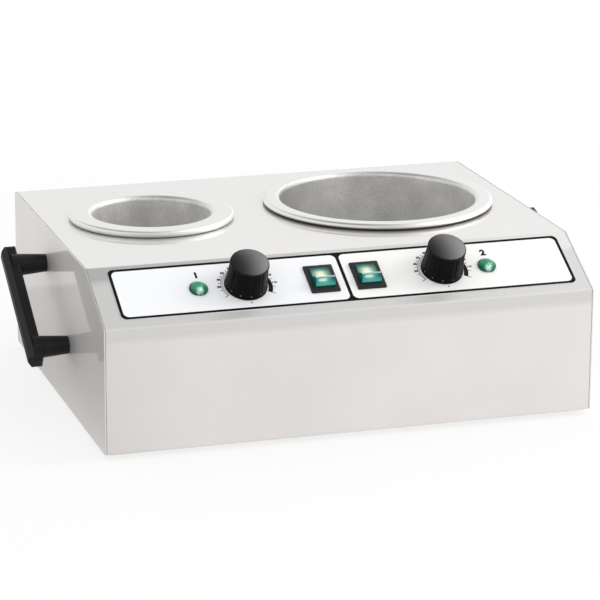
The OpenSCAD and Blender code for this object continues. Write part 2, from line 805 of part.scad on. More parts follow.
// Block with three through bores, each with two screw wells, and a groove between the poles
module terminal_block() color("ivory") housing()
    translate([block_at.x, block_at.y, 0]) difference() {
        rounded_box([block_size.x, block_size.y], 2, block_size.z);
        for (x = block_rows) {
            translate([x, 0, bore_z]) rotate([90, 0, 0]) cylinder(r = 2.2, h = 40, center = true);
            for (y = [-6, 6]) translate([x, y, bore_z]) cylinder(r = 2.4, h = 10);
        }
        for (x = [-6.5, 6.5]) translate([x, 0, block_size.z]) cube([1.5, 40, 8], center = true);
    }

module terminal_screws() color("goldenrod") housing()
    for (x = block_rows, y = [-6, 6])
        translate([block_at.x + x, block_at.y + y, bore_z + 2.4]) screw(1.6, 0.6, 2.2, 3);

// Stud through the base plate, with its washer and nut
module earth_stud() color("goldenrod") housing() translate([earth_at.x, earth_at.y, -sheet]) {
    cylinder(r = earth_r, h = earth_h);
    translate([0, 0, sheet]) cylinder(r = 5.4, h = 1.2);
    translate([0, 0, sheet + 1.2]) cylinder(r = 4.6, h = 4, $fn = 6);
}

// z = 0 on the inlet's face, x as the housing's x seen from the rear, y up
module at_inlet() housing() translate([inlet_x, half_d + rear_stand, inlet_z])
    rotate([90, 0, 180]) children();

module at_pins() for (p = [[-pin_row, -pin_drop], [pin_row, -pin_drop], [0, pin_rise]])
    translate(p) children();

module mains_inlet() color(BLACK) {
    corner = 3.2;
    w = socket_size.x / 2;
    h = socket_size.y / 2;
    at_inlet() difference() {
        union() {
            translate([0, 0, -rear_stand]) rounded_box(inlet_flange, 2, rear_stand);
            translate([0, 0, -inlet_deep]) rounded_box(inlet_body, 1.5, inlet_deep - rear_stand + eps);
        }
        translate([0, 0, -socket_deep]) linear_extrude(socket_deep + 1)
            polygon([[-w, -h], [w, -h], [w, h - corner], [w - corner, h], [corner - w, h],
                     [-w, h - corner]]);
        at_pins() translate([0, 0, -15 - inlet_deep / 2])
            cube([pin_size.x + near, pin_size.y + near, 30], center = true);
    }
}

module inlet_pins() color("goldenrod") at_inlet() at_pins()
    translate([-pin_size.x / 2, -pin_size.y / 2, -inlet_deep - tab_long])
        cube([pin_size.x, pin_size.y, inlet_deep + tab_long - socket_deep + pin_long]);

// Wires from the inlet's tabs to the terminal block and the earth stud
module mains_wires() color("royalblue") housing() {
    tab_y = half_d + rear_stand - inlet_deep - tab_long - 1.5;
    for (e = [-1, 1]) {
        pole = block_at.x + e * block_rows[2];
        wire([[inlet_x + e * pin_row, tab_y, inlet_z - pin_drop],
              [inlet_x + e * pin_row, tab_y - 8, inlet_z - pin_drop - 6],
              [pole, block_at.y + 18, bore_z], [pole, block_at.y + 4, bore_z]], wire_r);
    }
    wire([[inlet_x, tab_y, inlet_z + pin_rise], [inlet_x + 6, tab_y - 6, inlet_z + 2],
          [earth_at.x - 4, earth_at.y, earth_h + 2],
          [earth_at.x, earth_at.y, earth_h - sheet + 2 * near + wire_r]], wire_r);
}

// Bundles from the terminal block forward to the switches, where each fans out to the contacts
module wire_loom() color("firebrick") housing()
    for (e = [-1, 1]) {
        side = e < 0 ? A : B;
        pole = block_at.x + e * block_rows[2];
        tabs_end = switch_deep + tab_long - plate_t - frame_h;
        fan = under_slope(panel_x(side, switch_x), controls_up, tabs_end + 14);
        wire([[pole, block_at.y - 4, bore_z], [pole, block_at.y - 20, bore_z],
              [e * 6 - 20, 60, 9], [e * 6 - 20, -80, 9], fan], loom_r);
        translate(fan) sphere(loom_r * 1.02);
        for (x = [-1, 1], y = [-1, 1])
            wire([fan, under_slope(panel_x(side, switch_x) + x * tab_at.x,
                                   controls_up + y * tab_at.y, tabs_end + 0.5)], tube_r);
    }

// ---- the part -----------------------------------------------------------------------------------

housing_shell();
side_panel_left();
side_panel_right();
base_plate();
base_screws();
feet();
foot_screws();
handle_left();
handle_right();
handle_screws();
control_plate();
switch_frame_a();
switch_frame_b();
rocker_a();
rocker_b();
switch_neons();
switch_contacts();
lamp_lens_a();
lamp_lens_b();
lamp_body_a();
lamp_body_b();
lamp_nuts();
knob_a();
knob_b();
knob_cap_a();
knob_cap_b();
spindle_a();
spindle_b();
thermostat_a();
thermostat_b();
thermostat_nuts();
sensor_a();
sensor_b();
pot_a();
pot_b();
well_a();
well_b();
well_studs();
well_nuts();
heater_a();
heater_b();
insulation_a();
insulation_b();
thermal_cutouts();
terminal_block();
terminal_screws();
earth_stud();
mains_inlet();
inlet_pins();
mains_wires();
wire_loom();
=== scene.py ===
"""Looks of a twin-pot wax heater: stainless housing, printed control plate, knobs, lit rockers."""
import json
import math

import bmesh
import bpy
from mathutils import Matrix, Vector


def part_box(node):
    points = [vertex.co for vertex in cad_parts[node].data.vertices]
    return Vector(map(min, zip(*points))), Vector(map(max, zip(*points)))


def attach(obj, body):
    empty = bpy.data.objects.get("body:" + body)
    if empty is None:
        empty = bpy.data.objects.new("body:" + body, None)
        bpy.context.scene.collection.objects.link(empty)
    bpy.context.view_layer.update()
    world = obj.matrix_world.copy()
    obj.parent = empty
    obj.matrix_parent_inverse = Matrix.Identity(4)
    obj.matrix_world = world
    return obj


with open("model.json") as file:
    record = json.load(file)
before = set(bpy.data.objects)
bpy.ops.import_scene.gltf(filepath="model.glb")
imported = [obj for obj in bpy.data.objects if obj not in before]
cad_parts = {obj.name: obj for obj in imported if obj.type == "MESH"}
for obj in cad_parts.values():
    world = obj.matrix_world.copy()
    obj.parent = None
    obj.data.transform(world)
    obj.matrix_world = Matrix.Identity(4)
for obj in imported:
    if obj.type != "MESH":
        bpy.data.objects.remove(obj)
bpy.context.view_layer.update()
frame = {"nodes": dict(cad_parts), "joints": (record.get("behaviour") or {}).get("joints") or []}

MM = 0.001
NODES = frame["nodes"]
JOINTS = {joint["name"]: joint for joint in frame["joints"]}

# ---- places on the sloping panel, from the joints and the plate ------------------------------
RIGHT = Vector((1, 0, 0))
OUT = -Vector(JOINTS["turn_a"]["axis"])
UPHILL = OUT.cross(RIGHT)
KNOB = {side: Vector(JOINTS["turn_" + side]["pos_m"]) for side in "ab"}
PIVOT_LIFT = 0.5 * MM    # of the rockers' pins above the plate's face
SWITCH = {side: Vector(JOINTS["rock_" + side]["pos_m"]) - PIVOT_LIFT * OUT for side in "ab"}
KNOB_REST = {side: math.radians(-JOINTS["turn_" + side]["range_deg"][0]) for side in "ab"}


def middle(node):
    low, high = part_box(node)
    return (low + high) / 2


def on_panel(origin, lift=0.0):
    """Matrix whose x runs right, y up the slope and z out of the panel."""
    axes = Matrix((RIGHT, UPHILL, OUT)).transposed().to_4x4()
    return Matrix.Translation(origin + lift * OUT) @ axes


PLATE_T = 0.6 * MM
plate_low, plate_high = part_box("control_plate")
PLATE_W = plate_high.x - plate_low.x
PLATE_H = (plate_high.y - plate_low.y - PLATE_T * UPHILL.z) / UPHILL.y
plate_mid = middle("control_plate")
PLATE = plate_mid + (KNOB["a"] - plate_mid).dot(OUT) * OUT      # middle of the plate's face
ROW = (KNOB["a"] - PLATE).dot(UPHILL)                           # the row of controls above it


# ---- camera -----------------------------------------------------------------------------------
AZIMUTH, ELEVATION, ROLL = (math.radians(angle) for angle in (-17.507, 16.243, 0.312))
CAMERA_AT = Vector((-0.7582, -2.4220, 0.8127))
LENS, SENSOR = 178.36, 36       # both in millimetres
FAR_CLIP = 30


def add_camera():
    back = Vector((math.sin(AZIMUTH) * math.cos(ELEVATION),
                   -math.cos(AZIMUTH) * math.cos(ELEVATION), math.sin(ELEVATION)))
    level = Vector((math.cos(AZIMUTH), math.sin(AZIMUTH), 0))
    upright = back.cross(level)
    across = level * math.cos(ROLL) + upright * math.sin(ROLL)
    camera = bpy.data.objects.new("camera", bpy.data.cameras.new("camera"))
    camera.data.lens = LENS
    camera.data.sensor_width = SENSOR
    camera.data.clip_end = FAR_CLIP
    turn = Matrix((across, back.cross(across), back)).transposed().to_4x4()
    camera.matrix_world = Matrix.Translation(CAMERA_AT) @ turn
    bpy.context.scene.collection.objects.link(camera)
    bpy.context.scene.camera = camera


# ---- shader maths -----------------------------------------------------------------------------
class Value:
    """A socket of a shader, on which arithmetic adds Math nodes."""

    def __init__(self, shader, socket):
        self.shader, self.socket = shader, socket

    def __add__(self, other):
        return self.shader.math("ADD", self, other)

    def __radd__(self, other):
        return self.shader.math("ADD", other, self)

    def __sub__(self, other):
        return self.shader.math("SUBTRACT", self, other)

    def __rsub__(self, other):
        return self.shader.math("SUBTRACT", other, self)

    def __mul__(self, other):
        return self.shader.math("MULTIPLY", self, other)

    def __rmul__(self, other):
        return self.shader.math("MULTIPLY", other, self)

    def __truediv__(self, other):
        return self.shader.math("DIVIDE", self, other)

    def __pow__(self, other):
        return self.shader.math("POWER", self, other)


class Shader:
    """A node tree that is written as expressions."""

    def __init__(self, tree):
        self.tree = tree
        self.tree.nodes.clear()

    def node(self, kind, settings=None, inputs=None, out=0):
        made = self.tree.nodes.new(kind)
        for name, setting in (settings or {}).items():
            if name == "stops":
                self.set_stops(made.color_ramp, setting)
            else:
                setattr(made, name, setting)
        for name, value in (inputs or {}).items():
            if isinstance(value, Value):
                self.tree.links.new(value.socket, made.inputs[name])
            else:
                made.inputs[name].default_value = value
        return Value(self, made.outputs[out])

    def set_stops(self, ramp, stops):
        while len(ramp.elements) < len(stops):
            ramp.elements.new(0.5)
        for element, (place, colour) in zip(ramp.elements, stops):
            element.position = place
            element.color = (*colour, 1)

    def math(self, operation, *values):
        return self.node("ShaderNodeMath", {"operation": operation}, dict(enumerate(values)))

    def clamped(self, value, low=0.0, high=1.0):
        """Takes low..high to 0..1 and stops there."""
        return self.node("ShaderNodeMapRange", {"clamp": True},
                         {"Value": value, "From Min": low, "From Max": high})

    def place(self, scale=(1, 1, 1), shift=(0, 0, 0)):
        """Object coordinates in metres: moved by shift, then scaled."""
        here = self.node("ShaderNodeTexCoord", out=3)
        here = self.node("ShaderNodeMapping", {}, {"Vector": here, "Location": shift})
        return self.node("ShaderNodeMapping", {}, {"Vector": here, "Scale": scale})

    def noise(self, place, size, detail=3.0, roughness=0.5):
        return self.node("ShaderNodeTexNoise", {"noise_dimensions": "3D"},
                         {"Vector": place, "Scale": 1 / size, "Detail": detail,
                          "Roughness": roughness})

    def blend(self, factor, first, second):
        """Colour that goes from first to second."""
        mix = self.tree.nodes.new("ShaderNodeMix")
        mix.data_type = "RGBA"
        sockets = [s for s in mix.inputs if s.type == "RGBA"]
        for socket, value in zip([mix.inputs["Factor"], *sockets], (factor, first, second)):
            if isinstance(value, Value):
                self.tree.links.new(value.socket, socket)
            else:
                socket.default_value = (*value, 1) if isinstance(value, tuple) else value
        return Value(self, [s for s in mix.outputs if s.type == "RGBA"][0])

    def bump(self, height, depth, strength=1.0):
        return self.node("ShaderNodeBump", {}, {"Height": height, "Distance": depth,
                                                "Strength": strength})

    def surface(self, **inputs):
        """Principled surface; a name such as base_color stands for the socket Base Color."""
        names = {"ior_level": "Specular IOR Level", "coat_ior": "Coat IOR"}
        sockets = {}
        for name, value in inputs.items():
            if isinstance(value, tuple) and len(value) == 3:
                value = (*value, 1)
            sockets[names.get(name, name.replace("_", " ").title())] = value
        return self.node("ShaderNodeBsdfPrincipled", {}, sockets)

    def output(self, surface):
        self.node_to("ShaderNodeOutputMaterial", surface)

    def node_to(self, kind, surface):
        end = self.tree.nodes.new(kind)
        self.tree.links.new(surface.socket, end.inputs["Surface"])


def split(s, vector):
    parts = s.node("ShaderNodeSeparateXYZ", {}, {"Vector": vector})
    return [Value(s, parts.socket.node.outputs[i]) for i in range(3)]


def new_material(name):
    material = bpy.data.materials.new(name)
    material.use_nodes = True
    return material, Shader(material.node_tree)


# ---- finishes ---------------------------------------------------------------------------------
STEEL = (0.862, 0.853, 0.843)
SLOPE_Z = (98 * MM, 104 * MM)       # where the front's colour goes over to the slope's painted shade
DECK_Z = (136 * MM, 141 * MM)       # and the slope's to the deck's painted light


def toned(colour, share):
    return tuple(channel * share for channel in colour)


def brushed_sheet(name, grain, rough=0.52, mirror=0.3, folded=False):
    """Satin stainless sheet; grain is how fine the brushing is along x, y and z.

    A broad sheen carries the tone, and a mirror share shows soft images of what stands near.
    On the folded shell only the deck mirrors, and the slope is duller; painted shade darkens the
    slope's colour and painted light brightens the deck's.
    """
    material, s = new_material(name)
    lines = s.noise(s.place(scale=grain), 1.0, detail=4.0, roughness=0.65)
    clouds = s.noise(s.place(), 0.09, detail=2.0)
    tone = s.blend(s.clamped(clouds, 0.3, 0.7), toned(STEEL, 0.97), toned(STEEL, 1.02))
    wear = 0.06 * (lines - 0.5) + 0.04 * (clouds - 0.5)
    image = s.surface(base_color=tone, metallic=1.0, roughness=0.03 + 0.15 * wear)
    metal = 1.0
    if folded:
        height = split(s, s.place())[2]
        deck = s.clamped(height, *DECK_Z)
        slope = (1.0 - deck) * s.clamped(height, *SLOPE_Z)
        metal = 1.0 - 0.5 * slope
        # painted shade on the slope and painted light on the deck, on one and the same sheet
        tone = s.blend(slope, tone, toned(STEEL, 0.8))
        tone = s.blend(deck, tone, toned(STEEL, 1.03))
        mirror = mirror * deck
    sheen = s.surface(base_color=tone, metallic=metal, roughness=rough + wear,
                      normal=s.bump(lines, 0.00002, 0.25))
    s.output(s.node("ShaderNodeMixShader", {}, {0: mirror, 1: sheen, 2: image}))
    return material


RIM_SPAN = (4 * MM, 8 * MM)         # in from the rim's outside, from rim to inside
LIP_DEEP = (0.4 * MM, 1.8 * MM)     # below the rim's top, where the inside's look comes in
SKIRT_DEEP = (2.8 * MM, 4.4 * MM)   # and where the painted shade and reflection on the rim's outer edge begin
RINGS_PER_M = 2600


def spun_aluminium(name, node, colour, edge, shade=0.0):
    """Spun aluminium: satin rings on the rim, grey and grainy inside.

    The rim's outer face takes the colour edge as painted shade and reflection; shade is the share of
    painted shade that darkens the inside towards the left.
    """
    material, s = new_material(name)
    low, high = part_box(node)
    axis, top, reach = middle(node), high.z, (high.x - low.x) / 2
    x, y, z = split(s, s.place(shift=(-axis.x, -axis.y, -top)))
    radius = s.math("SQRT", x * x + y * y)
    deep = z * -1.0
    rings = s.node("ShaderNodeTexNoise", {"noise_dimensions": "1D"},
                   {"W": (radius + z) * RINGS_PER_M, "Scale": 1.0, "Detail": 3.0})
    grain = s.noise(s.place(), 0.0011, detail=4.0, roughness=0.7)
    stain = s.noise(s.place(), 0.03, detail=3.0)
    within = s.clamped(radius, *(reach - span for span in RIM_SPAN))
    inside = s.clamped(deep, *LIP_DEEP) * within
    skirt_shade = s.clamped(deep, *SKIRT_DEEP) * (1.0 - within)
    blotches = s.clamped(0.4 * stain + 0.6 * grain, 0.4, 0.6)
    blotched = s.blend(blotches, toned(colour, 0.7), colour)
    bright = s.blend(s.clamped(rings, 0.3, 0.7), (0.9, 0.9, 0.89), (0.97, 0.97, 0.96))
    # painted shade and reflection: the rim's outer face goes over to the dark colour edge
    bright = s.blend(skirt_shade, bright, edge)
    # painted shade: the inside darkens towards the left
    aside = s.clamped(x / reach, -0.05, -0.75)
    blotched = s.blend(aside * shade, blotched, (0.35, 0.34, 0.33))
    s.output(s.surface(
        base_color=s.blend(inside, bright, blotched), metallic=1.0 - 0.25 * inside,
        roughness=0.48 + 0.08 * (rings - 0.5) + 0.2 * inside * (grain - 0.5),
        normal=s.bump(rings * (1.0 + 2.0 * inside) + grain * inside * 3.0, 0.00005, 0.6)))
    return material


def moulded(name, colour, rough, texture=0.0003, depth=0.00003, **more):
    """Moulded plastic or rubber with a fine spark-eroded texture and slight wear."""
    material, s = new_material(name)
    pores = s.noise(s.place(), texture, detail=3.0, roughness=0.6)
    wear = s.noise(s.place(), 0.02, detail=3.0)
    light = tuple(min(1.0, c * 1.25 + 0.004) for c in colour)
    s.output(s.surface(
        base_color=s.blend(s.clamped(wear, 0.35, 0.75), colour, light),
        roughness=rough + 0.12 * (wear - 0.5) + 0.1 * (pores - 0.5),
        normal=s.bump(pores, depth, 0.4), ior_level=0.2, **more))
    return material


def plated(name, colour, rough):
    """Zinc, brass, copper or turned steel of small parts, a little tarnished."""
    material, s = new_material(name)
    tarnish = s.noise(s.place(), 0.004, detail=4.0)
    marks = s.noise(s.place(), 0.0004, detail=2.0)
    s.output(s.surface(
        base_color=s.blend(s.clamped(tarnish, 0.3, 0.7), toned(colour, 0.72), colour), metallic=1.0,
        roughness=rough + 0.2 * (tarnish - 0.5), normal=s.bump(marks, 0.00002, 0.3)))
    return material


# ---- knobs, rockers and lamps, drawn by their place on the panel --------------------------------
FLUTES = 12
FLUTE_AT = 18 * MM      # from the knob's axis to the flutes
FLUTE_END = 3.6 * MM    # from the plate to the flutes' lower ends
FLUTE_GLINT = (0.75 * MM, 0.35 * MM)     # radii of the painted glint there
HALF_STEP_IN = 100.5    # whole turns and a half, so that the fraction is positive
CAP_EDGE = (16.3 * MM, 15.3 * MM)       # from the dull edge to the polished dome


def panel_place(s, origin):
    """Right, uphill and out of the panel in metres, from a point on the plate's face."""
    x, y, z = split(s, s.place(shift=tuple(-origin)))
    return x, y * UPHILL.y + z * UPHILL.z, y * OUT.y + z * OUT.z


def bell(s, *spans):
    """1 at the middle, falling off smoothly; each span is a place over its half width."""
    total = 0.0
    for span in spans:
        total = total + span * span
    return s.math("EXPONENT", total * -1.0)


def fluted_black(side):
    """Black knob with a painted pale glint where each flute ends above the foot."""
    material, s = new_material("knob_black_" + side)
    across, along, out = panel_place(s, KNOB[side])
    turn = s.math("ARCTAN2", across, along * -1.0) - KNOB_REST[side]
    step = 2 * math.pi / FLUTES
    aside = (s.math("FRACT", turn / step + HALF_STEP_IN) - 0.5) * (step * FLUTE_AT)
    height = out - FLUTE_END
    glint = s.clamped(s.math("SQRT", aside * aside + height * height), *FLUTE_GLINT)
    pores = s.noise(s.place(), 0.0003, detail=3.0, roughness=0.6)
    wear = s.noise(s.place(), 0.02, detail=3.0)
    black = s.blend(wear, (0.0018, 0.0018, 0.002), (0.005, 0.005, 0.005))
    # painted highlight: a pale glint at each flute's lower end
    s.output(s.surface(base_color=s.blend(glint * 0.8, black, (0.2, 0.2, 0.2)), ior_level=0.06,
                       roughness=0.34 + 0.1 * (wear - 0.5), normal=s.bump(pores, 0.00003, 0.4)))
    return material


def cap_gloss(side):
    """Polished black cap whose turned-down edge stays dull."""
    material, s = new_material("cap_gloss_" + side)
    across, along, _ = panel_place(s, KNOB[side])
    dome = s.clamped(s.math("SQRT", across * across + along * along), *CAP_EDGE)
    marks = s.noise(s.place(), 0.002, detail=2.0)
    s.output(s.surface(base_color=s.blend(marks, (0.002, 0.002, 0.002), (0.005, 0.005, 0.005)),
                       roughness=0.34 + 0.06 * (marks - 0.5), ior_level=0.1, coat_ior=2.3,
                       coat_weight=dome, coat_roughness=0.24))
    return material


REAR_FADE = (11 * MM, 5.5 * MM)         # along the rocker, from the painted shade at its rear edge, sunk in the frame, to full light
WALL_START = (-6.2 * MM, -6.9 * MM)     # along it, where the top ends and the end wall begins
WALL_SPAN = (2.5 * MM, 10.1 * MM)       # out of the panel, from the wall's foot to the crest
CREST = (9.4 * MM, 9.9 * MM)            # where the painted highlight along the crest begins
LEFT_WALL = (-8.1 * MM, -8.5 * MM)      # across it, where the left side wall begins
HALF_ROCKER = 8.5 * MM
CAP_COLOURS = ((0.0, (0.02, 0.045, 0.042)), (0.16, (0.07, 0.17, 0.14)), (0.5, (0.3, 0.46, 0.36)),
               (0.72, (0.6, 0.72, 0.53)), (0.93, (0.93, 0.92, 0.72)))
WALL_COLOURS = ((0.0, (0.0, 0.008, 0.008)), (0.1, (0.0, 0.03, 0.028)), (0.22, (0.04, 0.36, 0.3)),
                (0.45, (0.015, 0.27, 0.24)), (0.75, (0.0, 0.11, 0.12)), (0.95, (0.01, 0.16, 0.17)))


def lit_top(s, across, along):
    """Light through the pressed half of the rocker's top."""
    shine = bell(s, (across + 0.7 * MM) / (6.3 * MM), (along - 1.4 * MM) / (9.0 * MM))
    # painted shade: the light fades out where the rear end sinks into the frame
    shine = shine * s.clamped(along, *REAR_FADE)
    return s.node("ShaderNodeValToRGB", {"stops": CAP_COLOURS}, {"Fac": shine})


def lit_wall(s, across, out):
    """Light through the end wall, with the neon tube as a bar behind it and one dark corner."""
    wall = s.node("ShaderNodeValToRGB", {"stops": WALL_COLOURS}, {"Fac": s.clamped(out, *WALL_SPAN)})
    under = bell(s, (across + 1.2 * MM) / (5.2 * MM), (out - 8.6 * MM) / (3.4 * MM))
    aside = (across + 2.6 * MM) / (3.7 * MM)
    above = (out - 8.0 * MM) / (0.95 * MM)
    tube = bell(s, aside * aside, above * above)
    corner = s.clamped(across, 4.5 * MM, 7.5 * MM) * s.clamped(out, 5.5 * MM, 8.0 * MM)
    wall = s.blend(under * 0.45, wall, (0.4, 0.66, 0.52))
    wall = s.blend(tube * 0.9, wall, (0.68, 0.9, 0.74))
    return s.blend(corner * 0.8, wall, (0.0, 0.045, 0.06))


def lit_rocker(side):
    """Translucent green cap: the neon shines through its pressed half and its end wall."""
    material, s = new_material("rocker_green_" + side)
    across, along, out = panel_place(s, SWITCH[side])
    haze = s.noise(s.place(), 0.0015, detail=2.0)
    shown = s.blend(s.clamped(along, *WALL_START), lit_top(s, across, along),
                    lit_wall(s, across, out))
    ends = (across / HALF_ROCKER) * (across / HALF_ROCKER)
    # painted highlight along the crest, strongest towards its ends
    shown = s.blend(s.clamped(out, *CREST) * (0.45 + 0.5 * ends), shown, (0.85, 0.97, 0.95))
    shown = s.blend(s.clamped(across, *LEFT_WALL), shown, (0.0, 0.055, 0.06))
    s.output(s.surface(base_color=(0.0, 0.03, 0.028), roughness=0.2 + 0.08 * (haze - 0.5),
                       coat_weight=0.15, coat_roughness=0.08, emission_color=shown,
                       emission_strength=0.95, ior_level=0.25, normal=s.bump(haze, 0.00003, 0.3)))
    return material


LAMP_R = 8 * MM
FACETS_PER_M = 700


def pilot_lens(side):
    """Green dome, with painted shade darker towards its rim and a painted glint of its facets low in
    the middle.
    """
    material, s = new_material("lamp_green_" + side)
    origin = PLATE + (middle("lamp_lens_" + side) - PLATE).dot(RIGHT) * RIGHT + ROW * UPHILL
    across, along, _ = panel_place(s, origin)
    spread = s.math("SQRT", across * across + along * along) / LAMP_R
    facets = s.node("ShaderNodeTexVoronoi", {}, {"Vector": s.place(), "Scale": FACETS_PER_M})
    # painted highlight: a glint of the facets, low in the middle
    facet_glint = bell(s, (across + 0.4 * MM) / (2.9 * MM), (along + 5.2 * MM) / (2.6 * MM))
    facet_glint = s.clamped(facet_glint * (1.35 - 1.1 * facets), 0.12, 0.8)
    # painted shade: the green darkens towards the rim
    green = s.blend(s.clamped(spread, 0.5, 0.98), (0.045, 0.3, 0.15), (0.0, 0.05, 0.03))
    s.output(s.surface(base_color=green, roughness=0.14 + 0.2 * facets, coat_weight=0.3,
                       coat_roughness=0.04, emission_strength=0.9, ior_level=0.2,
                       emission_color=s.blend(facet_glint, (0.0, 0.02, 0.01), (0.75, 0.95, 0.9)),
                       normal=s.bump(facets, 0.0001, 0.25)))
    return material


WINDOW_SPLIT = (1.2 * MM, 2.2 * MM)
LEFT_WHITE, RIGHT_WHITE = (0.875, 0.885, 0.905), (0.895, 0.888, 0.872)


def printed_plate():
    """Glossy white plate, faintly blue in its left window and warm in its right one."""
    material, s = new_material("plate_white")
    haze = s.noise(s.place(), 0.03, detail=2.0)
    grain = s.noise(s.place(), 0.0005, detail=2.0)
    x = split(s, s.place())[0]
    side = s.clamped(x + 0.01 * (haze - 0.5), *WINDOW_SPLIT)
    s.output(s.surface(
        base_color=s.blend(side, LEFT_WHITE, RIGHT_WHITE),
        roughness=0.3 + 0.1 * (haze - 0.5), normal=s.bump(grain, 0.00001, 0.3)))
    return material


def ink():
    material, s = new_material("black_ink")
    edge = s.noise(s.place(), 0.0004, detail=2.0)
    s.output(s.surface(base_color=s.blend(edge, (0.002, 0.002, 0.002), (0.005, 0.005, 0.005)),
                       roughness=0.5 + 0.1 * (edge - 0.5), ior_level=0.12))
    return material


def dial_ink(side):
    """Ink of the dial's wedge, from pale at the left of the knob to black at the right."""
    material, s = new_material("dial_ink_" + side)
    across = panel_place(s, KNOB[side])[0]
    dots = s.noise(s.place(), 0.0003, detail=1.0)
    tone = s.clamped(across / (20 * MM) + 0.3 * (dots - 0.5), -0.9, 0.7)
    s.output(s.surface(base_color=s.blend(tone, (0.6, 0.6, 0.61), (0.003, 0.003, 0.003)),
                       roughness=0.5 + 0.1 * (dots - 0.5), ior_level=0.15))
    return material


def mineral_wool():
    material, s = new_material("mineral_wool")
    strands = s.noise(s.place(scale=(1, 1, 3)), 0.004, detail=6.0, roughness=0.75)
    s.output(s.surface(base_color=s.blend(strands, (0.5, 0.42, 0.2), (0.85, 0.78, 0.5)),
                       roughness=0.85 + 0.1 * (strands - 0.5), sheen_weight=0.4,
                       normal=s.bump(strands, 0.001, 0.8)))
    return material


# edge paints shade and reflection on the rim's outer face; shade is the share of painted shade inside
POT_LOOK = {"a": {"colour": (0.9, 0.89, 0.87), "edge": (0.55, 0.54, 0.52)},
            "b": {"colour": (0.92, 0.91, 0.895), "edge": (0.19, 0.165, 0.15), "shade": 0.75}}


def dress(material, *nodes):
    for name in nodes:
        NODES[name].data.materials.clear()
        NODES[name].data.materials.append(material)


def dress_all():
    dress(brushed_sheet("stainless_shell", (6, 1400, 1400), mirror=0.5, folded=True), "housing_shell")
    dress(brushed_sheet("stainless_side", (1400, 6, 1400), rough=0.62, mirror=0.28),
          "side_panel_left", "side_panel_right")
    dress(brushed_sheet("stainless_base", (6, 900, 900), rough=0.3), "base_plate")
    for side in "ab":
        for node in ("pot_" + side, "well_" + side):
            dress(spun_aluminium(node + "_aluminium", node, **POT_LOOK[side]), node)
        dress(lit_rocker(side), "rocker_" + side)
        dress(pilot_lens(side), "lamp_lens_" + side)
        dress(cap_gloss(side), "knob_cap_" + side)
        dress(fluted_black(side), "knob_" + side)
    dress(moulded("handle_black", (0.008, 0.008, 0.008), 0.38, 0.0005, 0.00004),
          "handle_left", "handle_right")
    dress(moulded("switch_black", (0.02, 0.019, 0.018), 0.4), "switch_frame_a", "switch_frame_b",
          "lamp_body_a", "lamp_body_b", "mains_inlet")
    dress(printed_plate(), "control_plate")
    dress(moulded("foot_rubber", (0.02, 0.02, 0.02), 0.7, 0.0006, 0.0001), "feet")
    dress(plated("zinc", (0.66, 0.67, 0.69), 0.32), "base_screws", "foot_screws", "handle_screws",
          "lamp_nuts", "thermostat_nuts", "well_studs", "well_nuts")
    dress(plated("brass", (0.8, 0.6, 0.24), 0.28), "switch_contacts", "terminal_screws",
          "earth_stud", "inlet_pins")
    dress(plated("spindle_steel", (0.62, 0.62, 0.62), 0.3), "spindle_a", "spindle_b")
    dress(plated("copper", (0.78, 0.42, 0.28), 0.3), "sensor_a", "sensor_b")
    dress(plated("heater_jacket", (0.5, 0.48, 0.43), 0.4), "heater_a", "heater_b")
    dress(moulded("phenolic", (0.3, 0.2, 0.11), 0.45), "thermostat_a", "thermostat_b",
          "thermal_cutouts")
    dress(moulded("terminal_ivory", (0.8, 0.76, 0.64), 0.4), "terminal_block")
    dress(moulded("wire_sleeve", (0.05, 0.08, 0.3), 0.5, 0.0008, 0.0001), "mains_wires")
    dress(moulded("loom_sleeve", (0.3, 0.05, 0.04), 0.5, 0.0008, 0.0001), "wire_loom")
    dress(moulded("neon_glass", (0.9, 0.55, 0.3), 0.1, transmission_weight=0.6), "switch_neons")
    dress(mineral_wool(), "insulation_a", "insulation_b")


# ---- printing on the control plate --------------------------------------------------------------
INK_T = 0.03 * MM
DRAWN = 0.1 * MM        # unit of the curves
LETTER_STEPS = 8        # of each curved stretch; the digits' faces close with these steps
BORDER = 2.6 * MM       # width of the black line round the plate
DIVIDER = 2.9 * MM      # and of the one between its windows
WINDOW_R = 5.0 * MM
PLATE_R = 5.0 * MM
DIVIDER_X = 1.7 * MM - PLATE.x


def arc(centre, radius, start, end, steps=12):
    """Points of an arc, in radians anticlockwise from +x."""
    return [(centre[0] + radius * math.cos(start + (end - start) * k / steps),
             centre[1] + radius * math.sin(start + (end - start) * k / steps))
            for k in range(steps + 1)]


def rounded_rect(low, high, radius):
    corners = ((high[0], high[1], 0), (low[0], high[1], 1), (low[0], low[1], 2), (high[0], low[1], 3))
    points = []
    for x, y, quarter in corners:
        inset = (x - math.copysign(radius, x - (low[0] + high[0]) / 2),
                 y - math.copysign(radius, y - (low[1] + high[1]) / 2))
        points += arc(inset, radius, quarter * math.pi / 2, (quarter + 1) * math.pi / 2)
    return points


def flat_piece(name, outlines):
    """Mesh of flat inked outlines; an outline inside another is a hole."""
    curve = bpy.data.curves.new(name, "CURVE")
    curve.dimensions = "2D"
    curve.fill_mode = "BOTH"
    curve.extrude = INK_T / 2 / DRAWN
    for points in outlines:
        spline = curve.splines.new("POLY")
        spline.points.add(len(points) - 1)
        for point, (x, y) in zip(spline.points, points):
            point.co = (x / DRAWN, y / DRAWN, 0, 1)
        spline.use_cyclic_u = True
    return curve_to_mesh(name, curve)


